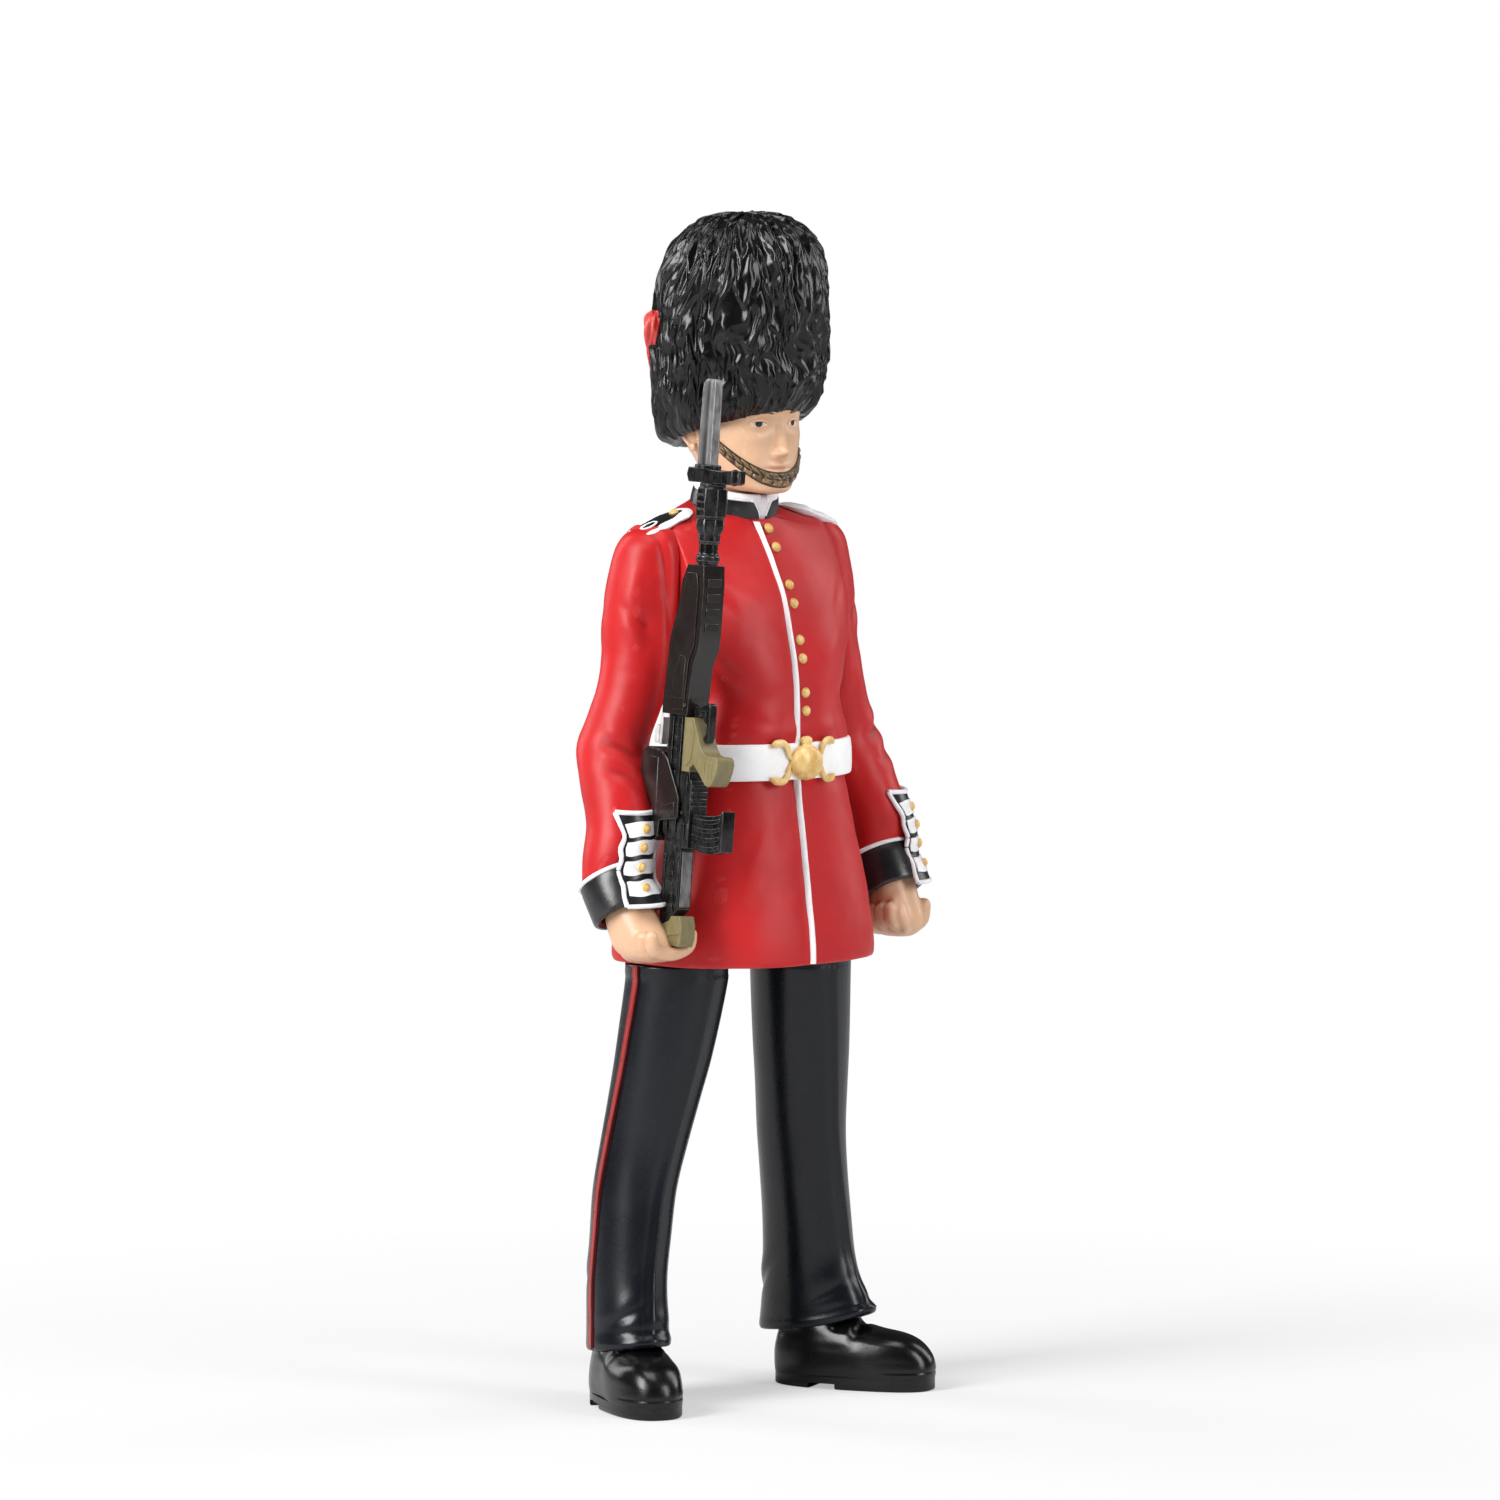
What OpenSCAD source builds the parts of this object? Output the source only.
// Ceremonial guard figurine: a standing soldier in a tall fur cap, red tunic and dark trousers,
// holding a short rifle upright against the right arm. The figure faces -Y and its left is +X.

/* [Boots] */
// Length of a boot
boot_l = 15.2; // [12:0.1:18]
// Width of a boot
boot_w = 6.8; // [5.5:0.1:8]
// Height of the boot upper above its sole
boot_h = 5.4; // [4:0.1:7]
// Thickness of the sole plate
sole_t = 0.5; // [0.3:0.05:1]
// Height of the heel block and the tread under the sole plate
tread_t = 0.6; // [0.3:0.05:1]
// Length of the heel block
heel_l = 4.4; // [3:0.1:6]
// Width of the sole edge that stands out past the upper
welt = 0.12; // [0.05:0.01:0.4]
// Outward turn of the right foot, in degrees
right_splay = 24; // [0:1:30]
// Outward turn of the left foot, in degrees
left_splay = 24; // [0:1:30]

/* [Trousers] */
// Height of the trouser hem above the ground
hem_lift = 4.7; // [3.8:0.1:6]
// Length of the trousers from hem to hidden top
trouser_h = 35.8; // [28:0.1:45]
// Width of the thigh
thigh_w = 9.4; // [8:0.1:10]
// Distance between the two leg axes at the top
hip_gap = 14.4; // [13:0.1:16]
// Extra outward reach of the right hem
right_spread = 4.1; // [2:0.1:6]
// Extra outward reach of the left hem
left_spread = 2.9; // [2:0.1:6]
// Backward reach of the right lower leg
right_back = 3.1; // [1:0.1:4]
// Backward reach of the left lower leg
left_back = 2.2; // [1:0.1:4]
// Width of the red side stripe
stripe_w = 0.5; // [0.3:0.05:1]
// Thickness of raised trim such as stripes and piping
trim_t = 0.22; // [0.1:0.02:0.5]

/* [Tunic] */
// Height of the tunic skirt below the belt
skirt_h = 16.2; // [12:0.1:20]
// Width of the skirt at its hem
skirt_w = 24.4; // [22:0.1:28]
// Depth of the skirt at its hem
skirt_d = 20; // [16:0.1:24]
// Height of the recess under the hem that hides the trouser tops
hem_recess = 1.4; // [1:0.1:4]
// Wall of the skirt around that recess
hem_wall = 0.75; // [0.5:0.05:1]
// Width of the waist
waist_w = 16.9; // [15:0.1:17.9]
// Depth of the waist
waist_d = 12; // [10:0.1:14]
// Height of the tunic body from the foot of the belt to the neck
tunic_h = 23.5; // [20:0.1:28]
// Width of the chest
chest_w = 19.2; // [18.2:0.1:21]
// Depth of the chest
chest_d = 12.6; // [11:0.1:14]
// Distance between the flat sides that carry the arms
armhole_gap = 18; // [16:0.1:18.1]
// Radius of a tunic button
button_r = 0.45; // [0.3:0.05:0.6]
// Distance between the two buttons of a pair
pair_gap = 1.6; // [1.1:0.1:1.9]
// Width of the white piping on the front edge
piping_w = 0.5; // [0.3:0.05:0.8]

/* [Belt] */
// Height of the belt
belt_h = 3.2; // [3:0.1:5]
// Thickness of the belt
belt_t = 0.3; // [0.15:0.05:0.6]
// Radius of the round buckle
buckle_r = 1.75; // [1.2:0.05:2]

/* [Arms] */
// Length of a sleeve from the shoulder top to the cuff
sleeve_l = 30; // [25:0.1:36]
// Width of the upper sleeve
sleeve_w = 6.5; // [5.5:0.1:7]
// Outward reach of the wrist from the shoulder
arm_spread = 6.2; // [4.5:0.1:8]
// Height of a cuff
cuff_h = 3.6; // [2.5:0.1:5]
// Forward tilt of the cuff, in degrees
cuff_tilt = 30; // [15:1:35]
// Step from the sleeve out to the cuff
cuff_step = 0.15; // [0.1:0.05:0.3]
// Height of a cuff flap
flap_h = 8; // [6:0.1:10]
// Radius of a cuff button
cuff_button_r = 0.42; // [0.3:0.02:0.6]
// Length of a shoulder strap
strap_l = 6.6; // [5:0.1:7]
// Width of a shoulder strap
strap_w = 3.4; // [2.5:0.1:4]
// Thickness of a shoulder strap
strap_t = 0.5; // [0.3:0.05:0.8]

/* [Hands] */
// Width of a palm
palm_w = 5.4; // [4.5:0.1:6]
// Thickness of a palm
palm_t = 4.2; // [3.5:0.1:5]
// Distance from the wrist to the knuckles
palm_l = 3.9; // [3:0.1:5]
// Radius of a finger
finger_r = 0.66; // [0.5:0.02:0.8]

/* [Head and cap] */
// Height of the head from chin to crown
head_h = 12.4; // [11:0.1:14]
// Width of the head
head_w = 9.8; // [9:0.1:10.6]
// Depth of the head
head_d = 10.9; // [10.2:0.1:12]
// Height of the standing collar
collar_h = 1.7; // [1.2:0.1:2]
// Wall of the collar
collar_wall = 0.6; // [0.4:0.05:0.9]
// Height of the cap from its rim to its top
cap_h = 19.6; // [16:0.1:24]
// Width of the cap
cap_w = 16; // [15:0.1:18]
// Tilt of the cap rim, in degrees, high at the front
cap_tilt = 15; // [5:1:20]
// Thickness of the chin strap
chain_t = 0.35; // [0.2:0.05:0.5]
// Width of the chin strap
chain_w = 0.9; // [0.6:0.05:1.2]
// Height of the plume on the right side of the cap
plume_h = 5.4; // [4:0.1:7]

/* [Rifle] */
// Length of the rifle from butt pad to muzzle
rifle_l = 35.9; // [32:0.1:40]
// Width of the rifle body between its side faces
rifle_w = 2.7; // [2.2:0.1:3]
// Radius of the barrel
barrel_r = 0.9; // [0.6:0.05:1.1]
// Length of the bayonet blade
blade_l = 7.4; // [6:0.1:10]
// Radius of the bayonet hilt
hilt_r = 1.35; // [1.1:0.05:1.5]
// Length of the bayonet hilt below its guard
hilt_l = 4.4; // [3.5:0.1:5]

/* [Fits] */
// Gap around every peg in its socket, and around the head in the cap
fit_gap = 0.1; // [0.05:0.01:0.2]
// Radius of the leg and waist pegs
peg_r = 1.8; // [1.2:0.1:2.2]
// Radius of the arm and wrist pegs
pin_r = 1.1; // [0.8:0.1:1.4]
// Length of every peg
peg_l = 2.6; // [2:0.1:3.5]

/* [Hidden] */

red = "firebrick";
black = "#1c1c20";
navy = "#20242c";
white = "whitesmoke";
skin = "#e8bd98";
gold = "goldenrod";
olive = "#6f6a45";
grey = "dimgray";

// Overrun of every cut
cut = 0.1;
// Points round a ring of a large form, a limb and a small tube
big_ring = 36;
limb_ring = 26;
tube_ring = 8;
// Columns of a row: x, y, z, half width, half depth, squareness, pitch, yaw
Z = 2;

// Heights, from the ground up
ground_gap = sole_t + tread_t;
z_leg_top = hem_lift + trouser_h;
z_hem = z_leg_top - hem_recess;
z_waist = z_hem + skirt_h;
z_belt_top = z_waist + belt_h;
z_neck = z_waist + tunic_h;
z_chin = z_neck + collar_h * 0.82;
z_crown = z_chin + head_h;
z_rim = z_crown - head_h * 0.58;

// Places along Y
waist_y = -waist_d * 0.183;
neck_y = chest_d * 0.095;
hem_y = -skirt_d * 0.01;
shoulder_y = chest_d * 0.12;

// Smooth curve through the rows of a table
function spline(a, b, c, d, t) =
    0.5 * (2 * b + (c - a) * t + (2 * a - 5 * b + 4 * c - d) * t * t
        + (3 * b - 3 * c + d - a) * t * t * t);
function pick(rows, i) = rows[max(0, min(len(rows) - 1, i))];
function smooth(rows, steps) = [
    for (i = [0:len(rows) - 2]) for (s = [0:steps - 1])
        spline(pick(rows, i - 1), rows[i], rows[i + 1], pick(rows, i + 2), s / steps),
    rows[len(rows) - 1]
];
// The row of a rising stack at height z
function row_at(rows, z) =
    let (last = len(rows) - 2,
         under = [for (k = [0:last]) if (rows[k][Z] <= z) k],
         i = min(last, len(under) == 0 ? 0 : under[len(under) - 1]),
         t = (z - rows[i][Z]) / (rows[i + 1][Z] - rows[i][Z]))
    rows[i] + (rows[i + 1] - rows[i]) * t;

// A point of a row's rounded outline at angle w, grown outward
function power(v, n) = sign(v) * pow(abs(v), 2 / n);
function rim_point(r, w, grow = 0) =
    let (dx = (r[3] + grow) * power(cos(w), r[5]),
         dy = (r[4] + grow) * power(sin(w), r[5]),
         ex = dx * cos(r[7]) - dy * sin(r[7]),
         ey = dx * sin(r[7]) + dy * cos(r[7]))
    [r[0] + ex, r[1] + ey * cos(r[6]), r[Z] + ey * sin(r[6])];
function rim(r, count, grow = 0) =
    [for (k = [0:count - 1]) rim_point(r, 360 * k / count, grow)];
function hold(v, low, high) = min(max(v, low), high);
function held(ring, low, high) = [for (p = ring) [hold(p[0], low, high), p[1], p[2]]];

// A closed skin over a chain of rings with equal point counts. Thin strips close their ends
// in pairs of points, other rings close them round their middle.
function mean(ring) = [for (p = ring) 1] * ring / len(ring);
module skin_over(rings, loop = false, strip = false) {
    count = len(rings[0]);
    n = len(rings);
    turns = loop ? n : n - 1;
    top = (n - 1) * count;
    sides = [
        for (i = [0:turns - 1]) for (k = [0:count - 1])
            let (a = i * count, b = ((i + 1) % n) * count, q = (k + 1) % count)
                each [[a + k, b + k, b + q], [a + k, b + q, a + q]]
    ];
    round_caps = [for (k = [0:count - 1]) let (q = (k + 1) % count)
        each [[k, q, n * count], [top + q, top + k, n * count + 1]]];
    strip_caps = [for (k = [0:count / 2 - 2]) let (a = count - 1 - k, b = count - 2 - k)
        each [[k, k + 1, b], [k, b, a], [top + k, top + b, top + k + 1], [top + k, top + a, top + b]]];
    middles = loop || strip ? [] : [mean(rings[0]), mean(rings[n - 1])];
    polyhedron(concat([for (r = rings) each r], middles),
        concat(sides, loop ? [] : strip ? strip_caps : round_caps), convexity = 8);
}
module loft(rows, count, steps = 2) {
    skin_over([for (r = smooth(rows, steps)) rim(r, count)]);
}
// A tube through points, each with its own radius, swept in the plane square to `side`
function ahead(path, i) =
    let (d = pick(path, i + 1) - pick(path, i - 1), v = [d[0], d[1], d[2]]) v / norm(v);
function tube_rings(path, side, count) = [
    for (i = [0:len(path) - 1])
        let (p = [path[i][0], path[i][1], path[i][2]], f = ahead(path, i),
             u = cross(f, side) / norm(cross(f, side)), v = cross(f, u))
        [for (k = [0:count - 1])
            p + path[i][3] * (u * cos(360 * k / count) + v * sin(360 * k / count))]
];
module tube(path, side, count = tube_ring, steps = 2) {
    skin_over(tube_rings(smooth(path, steps), side, count));
}
module peg(r, l) { cylinder(r = r, h = l, $fn = 32); }

// Boots: local +Y runs from toe to heel and the ankle stands on the origin
boot_back = boot_l * 0.30;
boot_mid = boot_back - boot_l / 2;
right_ankle = [-(hip_gap / 2 + right_spread), right_back * 0.94];
left_ankle = [hip_gap / 2 + left_spread, left_back * 0.22];
// Height, middle, half length, half width shares and squareness of the upper
boot_shares = [
    [0.00, 0.00, 0.485, 0.455, 2.5], [0.16, 0.00, 0.500, 0.490, 2.4],
    [0.36, 0.01, 0.490, 0.490, 2.3], [0.54, 0.05, 0.445, 0.465, 2.2],
    [0.66, 0.115, 0.375, 0.430, 2.1], [0.78, 0.19, 0.295, 0.410, 2.0],
    [0.90, 0.225, 0.255, 0.400, 2.0], [1.00, 0.23, 0.245, 0.395, 2.0]
];
boot_rows = [for (s = boot_shares)
    [0, boot_mid + s[1] * boot_l, ground_gap + s[0] * boot_h,
        s[3] * boot_w, s[2] * boot_l, s[4], 0, 0]];
module at_foot(ankle, turn) {
    translate([ankle[0], ankle[1], 0]) rotate([0, 0, turn]) children();
}
module boot_upper() {
    loft(boot_rows, limb_ring, 2);
    translate([0, boot_mid + boot_l * 0.23, ground_gap + boot_h - cut])
        peg(peg_r, hem_lift - ground_gap + peg_l + cut - boot_h + peg_l);
}
// Outline of the tread, long axis on Y
module sole_outline() {
    r_toe = boot_w / 2 + welt;
    r_heel = boot_w * 0.43;
    hull() {
        translate([0, boot_mid - boot_l / 2 + r_toe - welt]) circle(r_toe, $fn = 48);
        translate([0, boot_back - r_heel + welt]) circle(r_heel, $fn = 48);
    }
}
module sole_part(from_y, to_y, z, t) {
    translate([0, 0, z]) linear_extrude(t) intersection() {
        sole_outline();
        translate([-boot_w, from_y]) square([2 * boot_w, to_y - from_y]);
    }
}
module boot_sole() {
    toe_y = boot_mid - boot_l;
    sole_part(toe_y, boot_mid + boot_l, tread_t, sole_t);
    sole_part(toe_y, boot_back - heel_l - boot_l * 0.17, 0, tread_t + cut);
    sole_part(boot_back - heel_l, boot_mid + boot_l, 0, tread_t + cut);
}
module right_boot() { color(black) at_foot(right_ankle, -right_splay) boot_upper(); }
module left_boot() { color(black) at_foot(left_ankle, left_splay) boot_upper(); }
module right_sole() { color(black) at_foot(right_ankle, -right_splay) boot_sole(); }
module left_sole() { color(black) at_foot(left_ankle, left_splay) boot_sole(); }

// Trousers: height, outward, backward, half width and half length shares, and yaw share
leg_shares = [
    [0.00, 1.00, 0.80, 0.375, 0.575, 0.75], [0.064, 0.975, 0.90, 0.362, 0.525, 0.7],
    [0.176, 0.925, 1.00, 0.360, 0.480, 0.6], [0.288, 0.825, 1.00, 0.368, 0.462, 0.5],
    [0.40, 0.70, 1.00, 0.382, 0.455, 0.4], [0.511, 0.525, 0.87, 0.405, 0.453, 0.3],
    [0.623, 0.375, 0.65, 0.431, 0.462, 0.2], [0.735, 0.225, 0.45, 0.460, 0.477, 0.1],
    [0.90, 0.03, 0.23, 0.483, 0.493, 0.0], [0.935, 0.02, 0.21, 0.484, 0.494, 0.0],
    [0.957, 0.015, 0.20, 0.410, 0.450, 0.0], [1.00, 0.00, 0.18, 0.400, 0.440, 0.0]
];
leg_top_row = len(leg_shares) - 1;
hem_pitch = -6;
function leg_rows(side, spread, back, turn) = [for (s = leg_shares)
    [side * (hip_gap / 2 + s[1] * spread), s[2] * back, hem_lift + s[0] * trouser_h,
        s[3] * thigh_w, s[4] * thigh_w, 1.95, hem_pitch * pow(1 - s[0], 6), s[5] * turn]];
right_leg_rows = leg_rows(-1, right_spread, right_back, -right_splay);
left_leg_rows = leg_rows(1, left_spread, left_back, left_splay);
module trouser_leg(rows, ankle, turn) {
    difference() {
        union() {
            loft(rows, limb_ring, 2);
            translate([rows[leg_top_row][0], rows[leg_top_row][1], z_leg_top - cut]) peg(peg_r, peg_l + cut);
        }
        at_foot(ankle, turn) translate([0, 0, ground_gap])
            linear_extrude(boot_h + fit_gap)
                translate([0, boot_mid + boot_l * 0.23])
                    scale([boot_w * 0.42, boot_l * 0.262]) circle(1, $fn = 48);
        at_foot(ankle, turn) translate([0, boot_mid + boot_l * 0.23, ground_gap])
            peg(peg_r + fit_gap, hem_lift - ground_gap + 2 * peg_l + fit_gap);
    }
}
module right_trouser_leg() {
    color(navy) trouser_leg(right_leg_rows, right_ankle, -right_splay);
}
module left_trouser_leg() {
    color(navy) trouser_leg(left_leg_rows, left_ankle, left_splay);
}
// A ribbon laid on a stack of rows at angle w, from height z0 to z1
module ribbon(rows, w, z0, z1, width, turns) {
    skin_over([for (i = [0:turns])
        let (r = row_at(rows, z0 + (z1 - z0) * i / turns),
             half = width / 2 / max(r[3], r[4]) * 180 / PI)
        [rim_point(r, w - half), rim_point(r, w - half, trim_t),
            rim_point(r, w + half, trim_t), rim_point(r, w + half)]], strip = true);
}
stripe_top = z_hem - trim_t;
// The stripes run down the outer sides, this many degrees behind them on the leg's own turn
stripe_turn = 4;
module trouser_stripes() {
    color(red) {
        ribbon(smooth(right_leg_rows, 2), 180 - stripe_turn, hem_lift + trim_t, stripe_top, stripe_w, 16);
        ribbon(smooth(left_leg_rows, 2), stripe_turn, hem_lift + trim_t, stripe_top, stripe_w, 16);
    }
}

// Tunic skirt: height share and flare share between waist and hem
tunic_n = 2.3;
skirt_shares = [
    [0, 0.93], [0.06, 0.98], [0.14, 0.96], [0.3, 0.78], [0.5, 0.55], [0.7, 0.31], [0.87, 0.1], [1, 0]
];
skirt_rows = [for (s = skirt_shares)
    [0, waist_y + s[1] * (hem_y - waist_y), z_hem + s[0] * skirt_h,
        (waist_w + s[1] * (skirt_w - waist_w)) / 2,
        (waist_d + s[1] * (skirt_d - waist_d)) / 2, tunic_n, 0, 0]];
hem_row = skirt_rows[0];
hem_inside = [0, hem_row[1], 0, hem_row[3] - hem_wall, hem_row[4] - hem_wall - trim_t, tunic_n, 0, 0];
waist_peg_l = peg_l + fit_gap;
module tunic_skirt() {
    color(red) difference() {
        loft(skirt_rows, big_ring, 2);
        translate([0, 0, z_hem - cut]) linear_extrude(hem_recess + cut)
            polygon([for (p = rim(hem_inside, big_ring)) [p[0], p[1]]]);
        for (rows = [right_leg_rows, left_leg_rows])
            translate([rows[leg_top_row][0], rows[leg_top_row][1], z_leg_top - cut])
                peg(peg_r + fit_gap, peg_l + fit_gap + cut);
        translate([0, waist_y, z_waist - waist_peg_l])
            peg(2 * peg_r + fit_gap, waist_peg_l + cut);
    }
}

// Tunic body: height, chest, width, depth and lean shares
neck_tilt = 12;
body_shares = [
    [0, 0, 1, 1, 0], [belt_h / tunic_h, 0.05, 0.985, 1, 0.03], [0.24, 0.1, 0.9, 1, 0.04],
    [0.31, 0.2, 0.855, 1, 0.07], [0.37, 0.4, 0.885, 1, 0.11], [0.45, 0.6, 0.96, 1, 0.22],
    [0.54, 0.85, 0.99, 1, 0.39], [0.671, 1, 1, 0.965, 0.575], [0.794, 1, 0.99, 0.857, 0.765],
    [0.877, 1, 0.965, 0.75, 0.9], [0.93, 1, 0.90, 0.67, 0.97], [0.967, 1, 0.71, 0.60, 1],
    [1, 1, 0.43, 0.54, 1]
];
body_rows = smooth([for (s = body_shares)
    [0, waist_y + s[4] * (neck_y - waist_y), z_waist + s[0] * tunic_h,
        (waist_w + s[1] * (chest_w - waist_w)) / 2 * s[2],
        (waist_d + s[1] * (chest_d - waist_d)) / 2 * s[3], tunic_n,
        neck_tilt * pow(s[0], 12), 0]], 2);
body_rings = [for (r = body_rows) held(rim(r, big_ring), -armhole_gap / 2, armhole_gap / 2)];
shoulder_z = z_waist + tunic_h * 0.68;
module tunic_body() {
    color(red) difference() {
        union() {
            skin_over(body_rings);
            translate([0, waist_y, z_waist - peg_l]) peg(2 * peg_r, peg_l + cut);
        }
        translate([0, neck_y, z_neck]) rotate([neck_tilt, 0, 0])
            translate([0, 0, -peg_l - fit_gap]) peg(peg_r + fit_gap, peg_l + collar_h);
        for (side = [-1, 1]) {
            translate([side * armhole_gap / 2, shoulder_y, shoulder_z]) rotate([0, -side * 90, 0])
                translate([0, 0, -cut]) peg(pin_r + fit_gap, peg_l + fit_gap + cut);
            strap_seat(side);
        }
    }
}

// Front edge of the tunic: a point on the body or skirt at x and height z
tunic_rows = concat([for (r = smooth(skirt_rows, 2)) if (r[Z] < z_waist - cut) r], body_rows);
function front_y(x, z, grow = 0) =
    let (r = row_at(tunic_rows, z))
    r[1] - (r[4] + grow) * pow(1 - pow(min(1, abs(x / (r[3] + grow))), r[5]), 1 / r[5]);
piping_x = -piping_w * 1.9;
module edge_ribbon(z0, z1, turns) {
    skin_over([for (i = [0:turns])
        let (z = z0 + (z1 - z0) * i / turns, a = piping_x - piping_w / 2, b = piping_x + piping_w / 2)
        [[a, front_y(a, z), z], [a, front_y(a, z, trim_t), z],
            [b, front_y(b, z, trim_t), z], [b, front_y(b, z), z]]], strip = true);
}
module front_piping() {
    color(white) {
        edge_ribbon(z_hem, z_waist - trim_t, 12);
        edge_ribbon(z_belt_top + trim_t, z_neck - collar_h, 18);
    }
}
// Middle heights of the four pairs of buttons, as shares of the tunic body
pair_shares = [0.287, 0.481, 0.684, 0.889];
module button(r) {
    cylinder(r = r, h = r * 0.45, $fn = 24);
    translate([0, 0, r * 0.45]) scale(r) rotate_extrude($fn = 24)
        polygon([[0, -0.1], [0.9, -0.1], [0.9, 0], [0.72, 0.3], [0.4, 0.48], [0, 0.54]]);
}
module tunic_buttons() {
    color(gold) for (s = pair_shares) for (k = [-0.5, 0.5]) {
        z = z_waist + s * tunic_h + k * pair_gap;
        slope = atan((front_y(0, z + trim_t) - front_y(0, z - trim_t)) / (2 * trim_t));
        translate([0, front_y(0, z), z]) rotate([90 - slope, 0, 0]) button(button_r);
    }
}

// Collar: a band that stands on the tilted neck
neck_r_share = 0.305;
collar_a = neck_r_share * head_w + fit_gap;
module collar() {
    row = [0, neck_y, z_neck, collar_a, collar_a, 2, neck_tilt, 0];
    up = [0, -sin(neck_tilt) * collar_h, cos(neck_tilt) * collar_h, 0, 0, 0, 0, 0];
    color(black) skin_over([
        rim(row, limb_ring), rim(row, limb_ring, collar_wall + trim_t),
        rim(row + up, limb_ring, collar_wall), rim(row + up, limb_ring)
    ], true);
}

// Belt: its inside is the very surface of the waist
belt_rows = [for (r = body_rows) if (r[Z] <= z_belt_top + fit_gap * fit_gap) r];
module belt() {
    inner = [for (r = belt_rows) rim(r, big_ring)];
    outer = [for (i = [len(belt_rows) - 1:-1:0]) rim(belt_rows[i], big_ring, belt_t)];
    color(white) skin_over(concat(outer, inner), true);
}
buckle_z = z_waist + belt_h / 2;
module belt_buckle() {
    flat = belt_t * 0.9;
    hook_r = buckle_r * 0.3;
    bar_r = buckle_r * 0.12;
    translate([0, front_y(0, buckle_z, belt_t), buckle_z]) rotate([90, 0, 0]) color(gold) {
        peg(buckle_r, flat);
        translate([0, 0, flat - cut]) scale(buckle_r) rotate_extrude($fn = 40)
            polygon([[0, 0], [0.86, 0], [0.84, 0.12], [0.66, 0.26], [0.36, 0.36], [0, 0.39]]);
        translate([-buckle_r * 0.3, buckle_r * 0.8, 0])
            cube([buckle_r * 0.6, buckle_r * 0.35, flat]);
        for (x = [-1, 1]) for (y = [-1, 1])
            translate([x * buckle_r * 1.22, y * buckle_r * 0.62, flat / 2])
                rotate([0, 0, y > 0 ? (x > 0 ? -100 : 10) : (x > 0 ? 190 : 80)])
                    rotate_extrude(angle = 270, $fn = 28)
                        translate([hook_r, 0]) circle(bar_r * 1.6, $fn = 16);
    }
}

// Sleeves: height share from the cuff up, outward share, backward share, width and depth shares
arm_back = sleeve_w * 0.3;
sleeve_top = z_waist + tunic_h * 0.927;
wrist_z = sleeve_top - sleeve_l;
arm_x = armhole_gap / 2 + sleeve_w * 0.055;
arm_shares = [
    [0.000, 1.00, -0.36, 0.475, 0.485], [0.065, 0.99, -0.41, 0.470, 0.480],
    [0.155, 0.875, -0.30, 0.475, 0.477], [0.267, 0.785, 0.35, 0.490, 0.500],
    [0.373, 0.67, 1.00, 0.494, 0.500], [0.463, 0.500, 0.93, 0.480, 0.492],
    [0.550, 0.350, 0.80, 0.480, 0.492], [0.640, 0.250, 0.82, 0.492, 0.508],
    [0.727, 0.215, 0.92, 0.500, 0.515], [0.817, 0.155, 0.92, 0.500, 0.508],
    [0.905, 0.090, 0.82, 0.478, 0.472], [0.955, 0.070, 0.77, 0.430, 0.420],
    [0.985, 0.050, 0.77, 0.340, 0.330], [1.000, 0.030, 0.77, 0.230, 0.220]
];
function arm_rows(side) = smooth([for (s = arm_shares)
    [side * (arm_x + s[1] * arm_spread), s[2] * arm_back, wrist_z + s[0] * sleeve_l,
        s[3] * sleeve_w, s[4] * sleeve_w, 2, -cuff_tilt * pow(1 - s[0], 10), 0]], 2);
// Fall of a shoulder strap towards the arm, in degrees
strap_slope = 20;
module strap_place(side) {
    translate([side * (armhole_gap / 2 - strap_l * 0.5 + sleeve_w * 0.4), shoulder_y,
        z_waist + tunic_h * 0.935])
        rotate([0, side * strap_slope, 0]) children();
}
module strap_outline() {
    r = strap_w / 2;
    hull() {
        translate([-strap_l / 2 + r * 0.9, 0]) circle(r * 0.9, $fn = 32);
        translate([strap_l / 2 - r * 0.3, 0]) square([r * 0.6, strap_w], center = true);
    }
}
module strap_seat(side) {
    long = strap_l + 2 * fit_gap;
    wide = strap_w + 2 * fit_gap;
    strap_place(side) translate([-long / 2, -wide / 2, 0]) cube([long, wide, strap_w]);
}
module sleeve(side) {
    near = armhole_gap / 2;
    far = armhole_gap * 2;
    color(red) difference() {
        union() {
            skin_over([for (r = arm_rows(side)) held(rim(r, limb_ring),
                side > 0 ? near : -far, side > 0 ? far : -near)]);
            translate([side * (near + cut), shoulder_y, shoulder_z]) rotate([0, -side * 90, 0])
                peg(pin_r, peg_l + cut);
        }
        strap_seat(side);
    }
}
module right_sleeve() { sleeve(-1); }
module left_sleeve() { sleeve(1); }

// Cuffs, on the tilted end of the sleeve
function cuff_end(side) = arm_rows(side)[0];
function cuff_axis(side) = [0, -sin(cuff_tilt), -cos(cuff_tilt)] * cuff_h;
function wrist_at(side) =
    [cuff_end(side)[0], cuff_end(side)[1], cuff_end(side)[Z]] + cuff_axis(side);
module cuff(side) {
    r = cuff_end(side);
    d = cuff_axis(side);
    down = [d[0], d[1], d[2], 0, 0, 0, 0, 0];
    w = wrist_at(side);
    color(black) difference() {
        skin_over([rim(r + down, limb_ring, cuff_step * 0.6), rim(r + down * 0.5, limb_ring, cuff_step),
            rim(r, limb_ring, cuff_step)]);
        translate(w) rotate([-cuff_tilt, 0, 0]) translate([0, 0, -cut])
            peg(pin_r + fit_gap, peg_l + fit_gap + cut);
    }
}
module right_cuff() { cuff(-1); }
module left_cuff() { cuff(1); }
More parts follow.
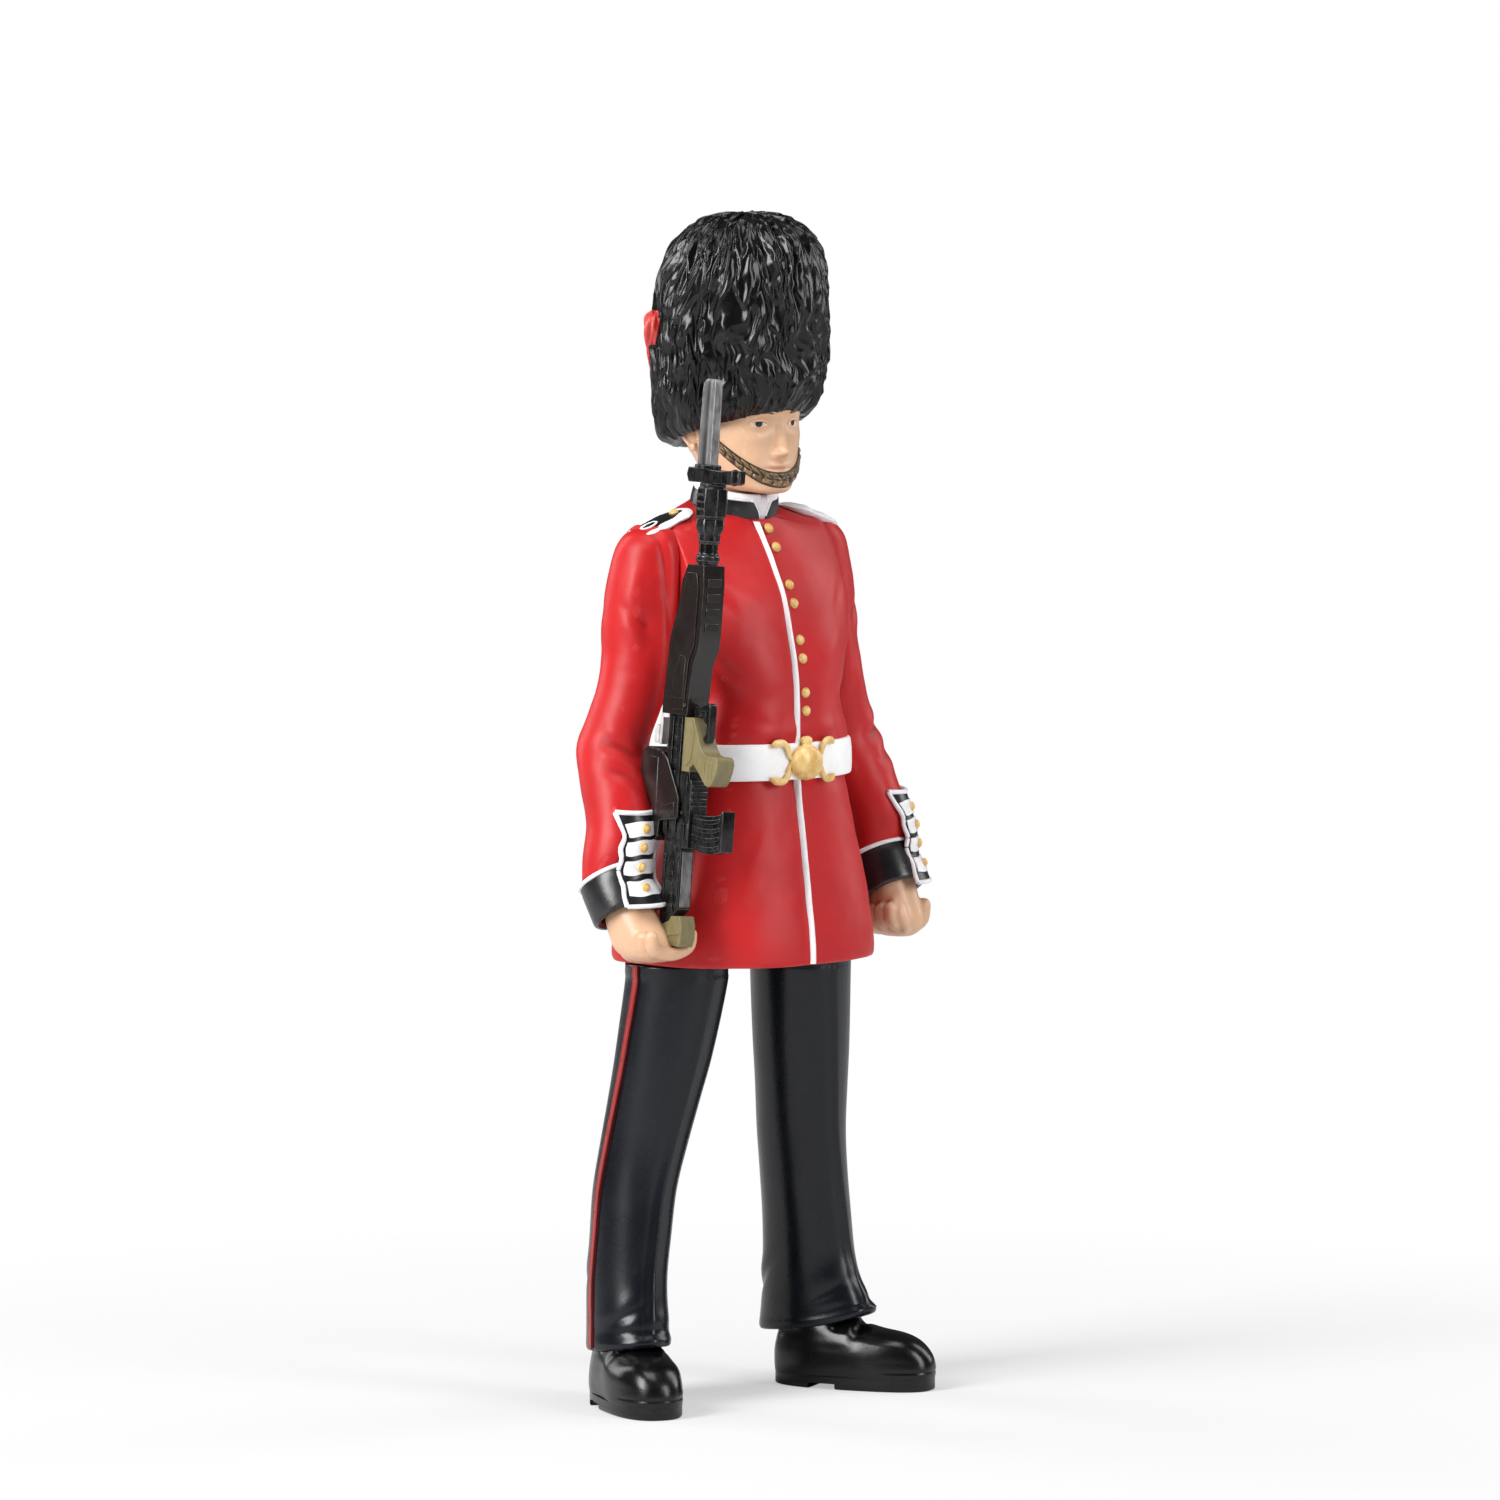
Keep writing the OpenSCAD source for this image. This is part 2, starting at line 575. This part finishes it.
// Cuff flaps: height share and half width in degrees, on the turn that each forearm has
right_flap_turn = -4;
left_flap_turn = 36;
flap_shares = [[0, 0.86], [0.1, 0.84], [0.24, 0.74], [0.38, 0.84], [0.5, 0.78], [0.62, 0.84],
    [0.74, 0.8], [0.88, 1], [1, 1.1]];
flap_half = 40;
function flap_z(side) = wrist_at(side)[2] + cuff_h * 0.28;
function flap_point(side, turn, s, k, grow) =
    rim_point(row_at(flap_rows(side), flap_z(side) + s[0] * flap_h),
        270 + turn + k * s[1] * flap_half, cuff_step + grow);
// Sleeve and cuff as one upright stack, without the tilt of their seam
function flap_rows(side) =
    let (rows = arm_rows(side), r = rows[0], d = cuff_axis(side))
    concat([[r[0] + d[0], r[1] + d[1], r[Z] + d[2], r[3], r[4], r[5], 0, 0]],
        [for (q = rows) [q[0], q[1], q[2], q[3], q[4], q[5], 0, 0]]);
module cuff_flap(side, turn) {
    across = [-1, -0.5, 0, 0.5, 1];
    color(black) skin_over([for (s = flap_shares) concat(
        [for (k = across) flap_point(side, turn, s, k, 0)],
        [for (i = [4:-1:0]) flap_point(side, turn, s, across[i], trim_t)])], strip = true);
}
module right_cuff_flap() { cuff_flap(-1, right_flap_turn); }
module left_cuff_flap() { cuff_flap(1, left_flap_turn); }
cuff_button_shares = [0.19, 0.41, 0.62, 0.82];
module cuff_buttons() {
    color(gold) for (arm = [[-1, right_flap_turn], [1, left_flap_turn]]) for (s = cuff_button_shares)
        translate(flap_point(arm[0], arm[1], [s, 1], 0, trim_t))
            rotate([0, 0, arm[1]]) rotate([90, 0, 0]) button(cuff_button_r);
}

// Shoulder straps and their buttons
module shoulder_strap(side) {
    color(black) strap_place(side) mirror([side > 0 ? 0 : 1, 0, 0]) linear_extrude(strap_t)
        strap_outline();
}
module right_shoulder_strap() { shoulder_strap(-1); }
module left_shoulder_strap() { shoulder_strap(1); }
module shoulder_buttons() {
    color(gold) for (side = [-1, 1]) strap_place(side)
        translate([-side * strap_l * 0.3, 0, strap_t]) button(cuff_button_r);
}

// Hands: a palm from the wrist down, four curled fingers and a thumb
wrist_r = palm_t * 0.46;
palm_shares = [[1, 0.5, 0.5], [0.88, 0.84, 0.86], [0.65, 1, 1], [0.3, 1, 0.9], [0, 0.98, 0.78]];
module palm(side, reach) {
    w = wrist_at(side);
    color(skin) union() {
        loft([for (s = palm_shares)
            [w[0] + side * reach[0] * s[0], w[1] + reach[1] * s[0], w[2] - palm_l * s[0],
                palm_t / 2 * s[1], palm_w / 2 * s[2], 2.2, -cuff_tilt * (1 - s[0]), 0]], 20, 2);
        translate(w) rotate([-cuff_tilt, 0, 0]) translate([0, 0, -cut]) peg(pin_r, peg_l + cut);
    }
}
module fingers(side, start, step, curl_w, curl_h) {
    for (i = [0:3]) {
        p = start + step * i;
        tube([
            [p[0] + side * curl_w * 0.5, p[1], p[2] + curl_h, finger_r],
            [p[0] + side * curl_w * 0.42, p[1], p[2] + curl_h * 0.25, finger_r * 1.05],
            [p[0], p[1], p[2], finger_r],
            [p[0] - side * curl_w * 0.42, p[1], p[2] + curl_h * 0.3, finger_r * 0.95],
            [p[0] - side * curl_w * 0.5, p[1], p[2] + curl_h, finger_r * 0.8]
        ], [0, 1, 0], tube_ring, 2);
    }
}
grip_drop = palm_l - finger_r * 0.4;
module left_hand() {
    w = wrist_at(1);
    color(skin) {
        palm(1, [palm_t * 0.04, -palm_w * 0.1]);
        fingers(1, w + [0, -palm_w * 0.37, -grip_drop + finger_r], [0, finger_r * 1.7, -finger_r * 0.2],
            palm_t * 0.95, palm_t * 0.42);
        tube([
            [w[0] - palm_t * 0.22, w[1] - palm_w * 0.22, w[2] - palm_l * 0.1, finger_r],
            [w[0] - palm_t * 0.3, w[1] - palm_w * 0.42, w[2] - palm_l * 0.42, finger_r * 1.1],
            [w[0] - palm_t * 0.16, w[1] - palm_w * 0.46, w[2] - palm_l * 0.78, finger_r * 0.85]
        ], [0, 1, 0], tube_ring, 3);
    }
}
module right_hand() {
    w = wrist_at(-1);
    color(skin) difference() {
        union() {
            palm(-1, [-palm_t * 0.1, -palm_w * 0.4]);
            fingers(-1, w + [palm_t * 0.3, -palm_w * 0.12, -grip_drop], [0, -finger_r * 1.75, finger_r * 0.2],
                palm_t * 1.1, palm_t * 0.38);
        }
        rifle_place() translate([-stock_w / 2 - fit_gap, -rifle_w * 2, 0])
            cube([stock_w + 2 * fit_gap, rifle_w * 2 + butt_back + fit_gap, rifle_l / 3]);
    }
}

// Head: height, forward, half width and half depth shares and the tilt of each level
head_y = neck_y * 0.25;
head_n = 2.15;
face_shares = [
    [0.035, 0.070, 0.300, 0.267, 12],
    [0.075, -0.062, 0.318, 0.382, 14], [0.137, -0.058, 0.388, 0.417, 11],
    [0.218, -0.044, 0.434, 0.430, 7], [0.282, -0.026, 0.464, 0.447, 4],
    [0.387, -0.009, 0.490, 0.465, 1], [0.500, 0.004, 0.495, 0.478, 0],
    [0.597, 0.009, 0.500, 0.500, 0], [0.750, 0.018, 0.500, 0.500, 0],
    [0.871, 0.026, 0.449, 0.447, 0], [0.952, 0.026, 0.327, 0.333, 0],
    [1.000, 0.026, 0.122, 0.123, 0]
];
neck_row = [0, neck_y, z_neck, head_w * 0.295, head_d * 0.263, head_n, neck_tilt, 0];
head_rows = smooth(concat([neck_row], [for (s = face_shares)
    [0, head_y + s[1] * head_d, z_chin + s[0] * head_h, s[2] * head_w, s[3] * head_d, head_n, s[4], 0]]), 3);
// Bumps of the face: side, height, reach, spread across and spread up, as shares of the head
bump_shares = [
    [0, 0.275, 0.095, 0.055, 0.035], [0, 0.33, 0.075, 0.05, 0.05], [0, 0.41, 0.045, 0.05, 0.06],
    [-0.2, 0.475, -0.045, 0.09, 0.045], [0.2, 0.475, -0.045, 0.09, 0.045],
    [0, 0.53, 0.025, 0.28, 0.03], [0, 0.185, 0.022, 0.12, 0.02], [0, 0.145, 0.02, 0.1, 0.018],
    [0, 0.05, 0.03, 0.14, 0.04]
];
function bump(x, z, s) = s[2] * head_d
    * exp(-pow((x / head_w - s[0]) / s[3], 2) - pow(((z - z_chin) / head_h - s[1]) / s[4], 2));
function face(p) = p[1] > head_y ? p
    : [p[0], p[1] - [for (s = bump_shares) bump(p[0], p[2], s)] * [for (s = bump_shares) 1], p[2]];
// Degrees by which the points of a level crowd towards the front of the face
face_crowd = 25;
function face_angle(k, count) =
    let (w = 360 * k / count) w - face_crowd * cos(w);
head_ring = 36;
module head() {
    color(skin) {
        skin_over([for (r = head_rows)
            [for (k = [0:head_ring - 1]) face(rim_point(r, face_angle(k, head_ring)))]]);
        translate([0, neck_y, z_neck]) rotate([neck_tilt, 0, 0])
            translate([0, 0, -peg_l]) peg(peg_r, peg_l + cut);
    }
}
// Chin strap: from one cheek under the lip to the other
strap_end = 80;
strap_low = z_chin + head_h * 0.155;
strap_high = z_chin + head_h * 0.405;
module chin_strap() {
    color(gold) skin_over([for (w = [-strap_end:strap_end / 10:strap_end])
        let (lift = pow(abs(w) / strap_end, 2.2),
             z = strap_low + (strap_high - strap_low) * lift,
             low = row_at(head_rows, z - chain_w / 2), high = row_at(head_rows, z + chain_w / 2))
        [face(rim_point(low, 270 + w, trim_t / 4)), rim_out(low, 270 + w), rim_out(high, 270 + w),
            face(rim_point(high, 270 + w, trim_t / 4))]], strip = true);
}
function rim_out(r, w) =
    let (p = face(rim_point(r, w, trim_t / 4))) p + chain_t * [cos(w), sin(w), 0];

// Fur cap: height, forward, width share and tilt share, from the rim up
cap_y = head_y;
cap_n = 2.05;
cap_shares = [
    [0.00, 0.018, 0.405, 1.0], [0.05, 0.020, 0.455, 0.95], [0.15, 0.018, 0.484, 0.75],
    [0.30, 0.012, 0.496, 0.45], [0.46, 0.004, 0.498, 0.2], [0.62, -0.010, 0.486, 0.05],
    [0.75, -0.030, 0.455, 0], [0.86, -0.045, 0.395, 0], [0.94, -0.050, 0.300, 0],
    [0.985, -0.050, 0.170, 0], [1.00, -0.050, 0.030, 0]
];
cap_rows = smooth([for (s = cap_shares)
    [0, cap_y + s[1] * cap_w, z_rim + s[0] * cap_h, s[2] * cap_w, s[2] * cap_w, cap_n,
        -cap_tilt * s[3], 0]], 2);
module fur_cap() {
    wide = head_w / 2 + 2 * fit_gap;
    deep = head_d / 2 + 2 * fit_gap;
    mid = head_y + head_d * 0.018;
    inner = [
        [0, mid, z_crown + 2 * fit_gap, wide, deep, head_n, 0, 0],
        [0, mid, z_rim + head_h * 0.2, wide, deep, head_n, 0, 0],
        [0, mid, z_rim, wide, deep, head_n, -cap_tilt, 0]
    ];
    color(black) skin_over(concat([for (r = inner) rim(r, big_ring)],
        [for (r = cap_rows) rim(r, big_ring)]));
}
plume_z = z_rim + cap_h * 0.42;
// Turn of the plume round the cap from the figure's right towards its back, in degrees
plume_turn = 32;
module plume() {
    r = row_at(cap_rows, plume_z);
    out = plume_h * 0.13;
    color(red) translate([0, r[1], 0]) rotate([0, 0, -plume_turn]) skin_over([for (s = [[-0.5, 0.02], [-0.38, 0.35], [-0.1, 0.75], [0.2, 1], [0.42, 0.75], [0.5, 0.2]])
        let (q = row_at(cap_rows, plume_z + s[0] * plume_h), half = s[1] * plume_h * 0.22)
        [for (k = [0:7]) let (w = 22.5 + 45 * k)
            [q[0] - (q[3] + out * (0.08 + s[1] * 0.92) * max(0, cos(w)) - trim_t * 0.2)
                + (q[3] - sqrt(q[3] * q[3] - pow(half * sin(w), 2))),
                q[1] - r[1] + half * sin(w), q[Z]]]]);
}

// Rifle: upright, muzzle up, its own +Z along the bore and -Y towards the magazine
rifle_lean = [1.35, 4.3, 0];
butt_back = rifle_w * 1.12;
stock_w = rifle_w * 0.58;
rifle_at = [wrist_at(-1)[0] + palm_t * 0.47, wrist_at(-1)[1] - palm_w * 0.97,
    wrist_at(-1)[2] - palm_l * 0.67];
module rifle_place() { translate(rifle_at) rotate(rifle_lean) children(); }
// Front and top of the magazine's end plate, as shares of the rifle's width and length
mag_reach = 1.6;
mag_top = 0.34;
// A plate of the rifle: outline in shares of the rifle's width (y) and length (z)
module plate(shares, w, x = 0) {
    rifle_place() translate([x - w / 2, 0, 0]) rotate([90, 0, 90]) linear_extrude(w)
        polygon([for (s = shares) [s[0] * rifle_w, s[1] * rifle_l]]);
}
pad_shares = [[0.98, 0.004], [0.06, 0], [-0.03, 0.02], [-0.03, 0.052], [0.08, 0.075],
    [0.50, 0.073], [0.62, 0.06], [0.98, 0.05]];
stock_shares = [[0.98, 0.05], [0.62, 0.06], [0.50, 0.073], [0.26, 0.09], [0.28, 0.235],
    [1.12, 0.27], [1.10, 0.07]];
module rifle_stock() {
    color(black) difference() {
        plate(stock_shares, stock_w);
        for (side = [-1, 1])
            plate([[0.42, 0.095], [0.90, 0.095], [0.94, 0.225], [0.46, 0.225]], trim_t * 2,
                side * stock_w / 2);
    }
}
module butt_pad() { color(olive) plate(pad_shares, stock_w * 1.06); }
module rifle_receiver() {
    color(black) {
        plate([[0.28, 0.235], [0.06, 0.25], [0.06, 0.425], [0.44, 0.425], [0.44, 0.56],
            [1.22, 0.56], [1.22, 0.30], [1.12, 0.27]], rifle_w * 0.7);
        for (y = [0.5, 0.92]) plate([[y, 0.275], [y, 0.555], [y + 0.18, 0.555], [y + 0.18, 0.275]],
            rifle_w * 0.8);
    }
}
module magazine_housing() {
    color(black) plate([[-0.10, 0.24], [-0.10, 0.403], [0.06, 0.41], [0.06, 0.25], [0.2, 0.24]],
        rifle_w * 0.76);
}
module magazine() {
    color(black) {
        plate([[-0.10, 0.243], [-0.6, 0.234], [-1.1, 0.233], [-1.48, 0.241], [-1.48, 0.333],
            [-1.1, 0.326], [-0.6, 0.324], [-0.10, 0.326]], rifle_w * 0.46);
        plate([[-1.48, 0.238], [-mag_reach, 0.243], [-mag_reach, mag_top], [-1.48, 0.336]], rifle_w * 0.54);
    }
}
module pistol_grip() {
    color(olive) plate([[0.44, 0.556], [0.02, 0.556], [-0.2, 0.52], [-0.32, 0.5], [-0.58, 0.472],
        [-0.74, 0.468], [-1.2, 0.468], [-1.28, 0.45], [-1.1, 0.408], [-0.86, 0.394],
        [-0.72, 0.398], [-0.1, 0.444], [0.06, 0.435], [0.06, 0.425], [0.44, 0.425]], rifle_w * 0.74);
}
module trigger_guard() {
    color(black) plate([[0.28, 0.565], [0.28, 0.582], [-0.1, 0.585], [-0.4, 0.594], [-0.5, 0.58],
        [-0.5, 0.51], [-0.42, 0.497], [-0.32, 0.5], [-0.26, 0.51], [-0.36, 0.52],
        [-0.38, 0.575], [-0.1, 0.572], [0.02, 0.5565], [0.2, 0.5565]], rifle_w * 0.3);
}
module trigger() {
    color(black) plate([[-0.12, 0.5722], [-0.12, 0.56], [-0.2, 0.548], [-0.3, 0.542], [-0.27, 0.556],
        [-0.26, 0.5737]], rifle_w * 0.2);
}
sight_shares = [[0.34, 0.31], [0.34, 0.36], [0.5, 0.385], [1.0, 0.452], [1.3, 0.468],
    [2.0, 0.476], [2.2, 0.455], [2.26, 0.42], [1.58, 0.33], [1.50, 0.275], [1.36, 0.25],
    [1.24, 0.262], [1.2, 0.3]];
module optical_sight() {
    color(black) difference() {
        plate(sight_shares, rifle_w);
        plate([[0.3, 0.2], [1.22, 0.2], [1.22, 0.6], [0.3, 0.6]], rifle_w * 0.8 + 2 * fit_gap);
    }
}
guard_shares = [[0.28, 0.56], [0.24, 0.6], [0.17, 0.677], [-0.06, 0.724], [-0.10, 0.757],
    [-0.10, 0.88], [-0.04, 0.925], [0.72, 0.925], [0.95, 0.885], [1.02, 0.83], [1.33, 0.75],
    [1.48, 0.585], [1.46, 0.56]];
module handguard() {
    color(black) difference() {
        plate(guard_shares, rifle_w);
        plate([[-0.2, 0.63], [0.32, 0.63], [0.14, 0.74], [-0.2, 0.74]], rifle_w * 0.6);
        rifle_place() translate([0, bore_y, rifle_l * 0.925 - barrel_seat])
            peg(barrel_r + fit_gap, barrel_seat + cut);
    }
}
bore_y = rifle_w * 0.3;
barrel_seat = barrel_r * 2;
module barrel() {
    color(black) rifle_place() translate([0, bore_y, rifle_l * 0.925 - barrel_seat])
        peg(barrel_r, rifle_l * 0.075 + barrel_seat);
}
module rifle_sling() {
    color(white) {
        plate([[1.22, 0.548], [1.22, 0.5595], [1.84, 0.5595], [1.84, 0.482], [1.72, 0.482], [1.72, 0.548]],
            rifle_w * 0.3);
        plate([[1.845, 0.485], [1.845, 0.525], [1.98, 0.53], [2.06, 0.515], [2.06, 0.485]], rifle_w * 0.35);
    }
}
// Bayonet: hilt over the muzzle, cross guard and blade
hilt_z = rifle_l;
guard_z = hilt_z + hilt_l;
guard_t = hilt_r * 0.95;
module bayonet_hilt() {
    color(black) rifle_place() translate([0, bore_y, hilt_z]) rotate_extrude($fn = 32)
        polygon([[0, 0], [hilt_r * 0.72, 0], [hilt_r * 0.9, hilt_l * 0.12], [hilt_r * 0.9, hilt_l * 0.25],
            [hilt_r, hilt_l * 0.32], [hilt_r, hilt_l * 0.9], [hilt_r * 0.85, hilt_l], [0, hilt_l]]);
}
module bayonet_guard() {
    reach = hilt_r * 2.4;
    color(black) rifle_place() translate([-hilt_r * 0.6, bore_y - reach, guard_z]) {
        cube([hilt_r * 1.2, reach + hilt_r * 1.95, guard_t]);
        translate([hilt_r * 0.6, reach + blade_back, guard_t - cut]) peg(hilt_r * 0.8, guard_t * 0.25 + cut);
    }
}
blade_w = hilt_r * 1.63;
blade_t = hilt_r * 0.62;
// Offset of the blade behind the bore
blade_back = hilt_r * 0.6;
module bayonet_blade() {
    foot = guard_z + guard_t * 1.25;
    color(grey) rifle_place() translate([0, bore_y + blade_back, foot]) intersection() {
        linear_extrude(blade_l) polygon([[-blade_t / 2, -blade_w * 0.32], [-blade_t / 2, blade_w * 0.4],
            [0, blade_w / 2], [blade_t / 2, blade_w * 0.4], [blade_t / 2, -blade_w * 0.32],
            [0, -blade_w / 2]]);
        rotate([90, 0, 90]) translate([0, 0, -blade_t]) linear_extrude(2 * blade_t)
            polygon([[-blade_w, 0], [blade_w, 0], [blade_w, blade_l * 0.9], [blade_w * 0.44, blade_l * 0.95],
                [blade_w * 0.3, blade_l], [-blade_w * 0.3, blade_l], [-blade_w * 0.46, blade_l * 0.94],
                [-blade_w, blade_l * 0.88]]);
    }
}

// Whole figure, moved so that the middle of its outer box stands over the origin
front_reach = rifle_at[1] - mag_reach * rifle_w - sin(rifle_lean[0]) * mag_top * rifle_l;
back_reach = skirt_rows[1][1] + skirt_rows[1][4];
module placed() { translate([0, -(front_reach + back_reach) / 2, 0]) children(); }

placed() right_boot();
placed() right_sole();
placed() left_boot();
placed() left_sole();
placed() right_trouser_leg();
placed() left_trouser_leg();
placed() trouser_stripes();
placed() tunic_skirt();
placed() tunic_body();
placed() front_piping();
placed() tunic_buttons();
placed() collar();
placed() belt();
placed() belt_buckle();
placed() right_sleeve();
placed() left_sleeve();
placed() right_cuff();
placed() left_cuff();
placed() right_cuff_flap();
placed() left_cuff_flap();
placed() cuff_buttons();
placed() right_shoulder_strap();
placed() left_shoulder_strap();
placed() shoulder_buttons();
placed() right_hand();
placed() left_hand();
placed() head();
placed() chin_strap();
placed() fur_cap();
placed() plume();
placed() rifle_stock();
placed() butt_pad();
placed() rifle_receiver();
placed() magazine_housing();
placed() magazine();
placed() pistol_grip();
placed() trigger_guard();
placed() trigger();
placed() optical_sight();
placed() handguard();
placed() barrel();
placed() rifle_sling();
placed() bayonet_hilt();
placed() bayonet_guard();
placed() bayonet_blade();
